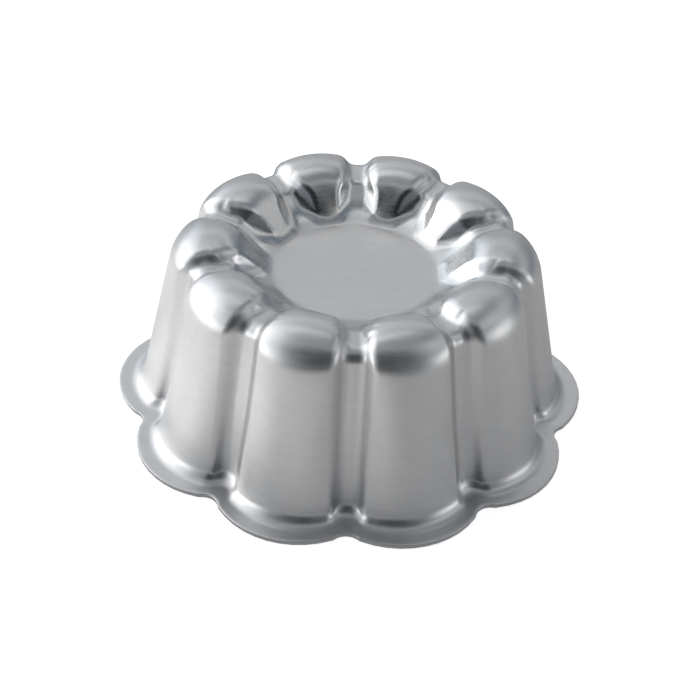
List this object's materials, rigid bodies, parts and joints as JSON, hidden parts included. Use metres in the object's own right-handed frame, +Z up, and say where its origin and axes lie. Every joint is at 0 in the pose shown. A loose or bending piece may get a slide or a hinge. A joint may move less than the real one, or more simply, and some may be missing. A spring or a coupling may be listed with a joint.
{
  "type": "fluted cake pan",
  "caption": "Small fluted cake pan pressed from sheet aluminium, with a scalloped flat rim and a sunken round recess in its base, standing open side down.",
  "frame": {"origin": "centre of the flat underside of the rim flange, on the surface the upturned pan stands on", "axes": "+Z up along the pan's axis, from the rim towards the recessed base; a valley of the flutes faces -Y and another +Y, and lobes face +X and -X"},
  "size_m": [0.114, 0.1104, 0.0447],
  "materials": {
    "pan_shell": "bare satin pressed aluminium with fine draw marks"
  },
  "bodies": {
    "root": {"pan_shell": "pan_shell"}
  },
  "joints": []
}
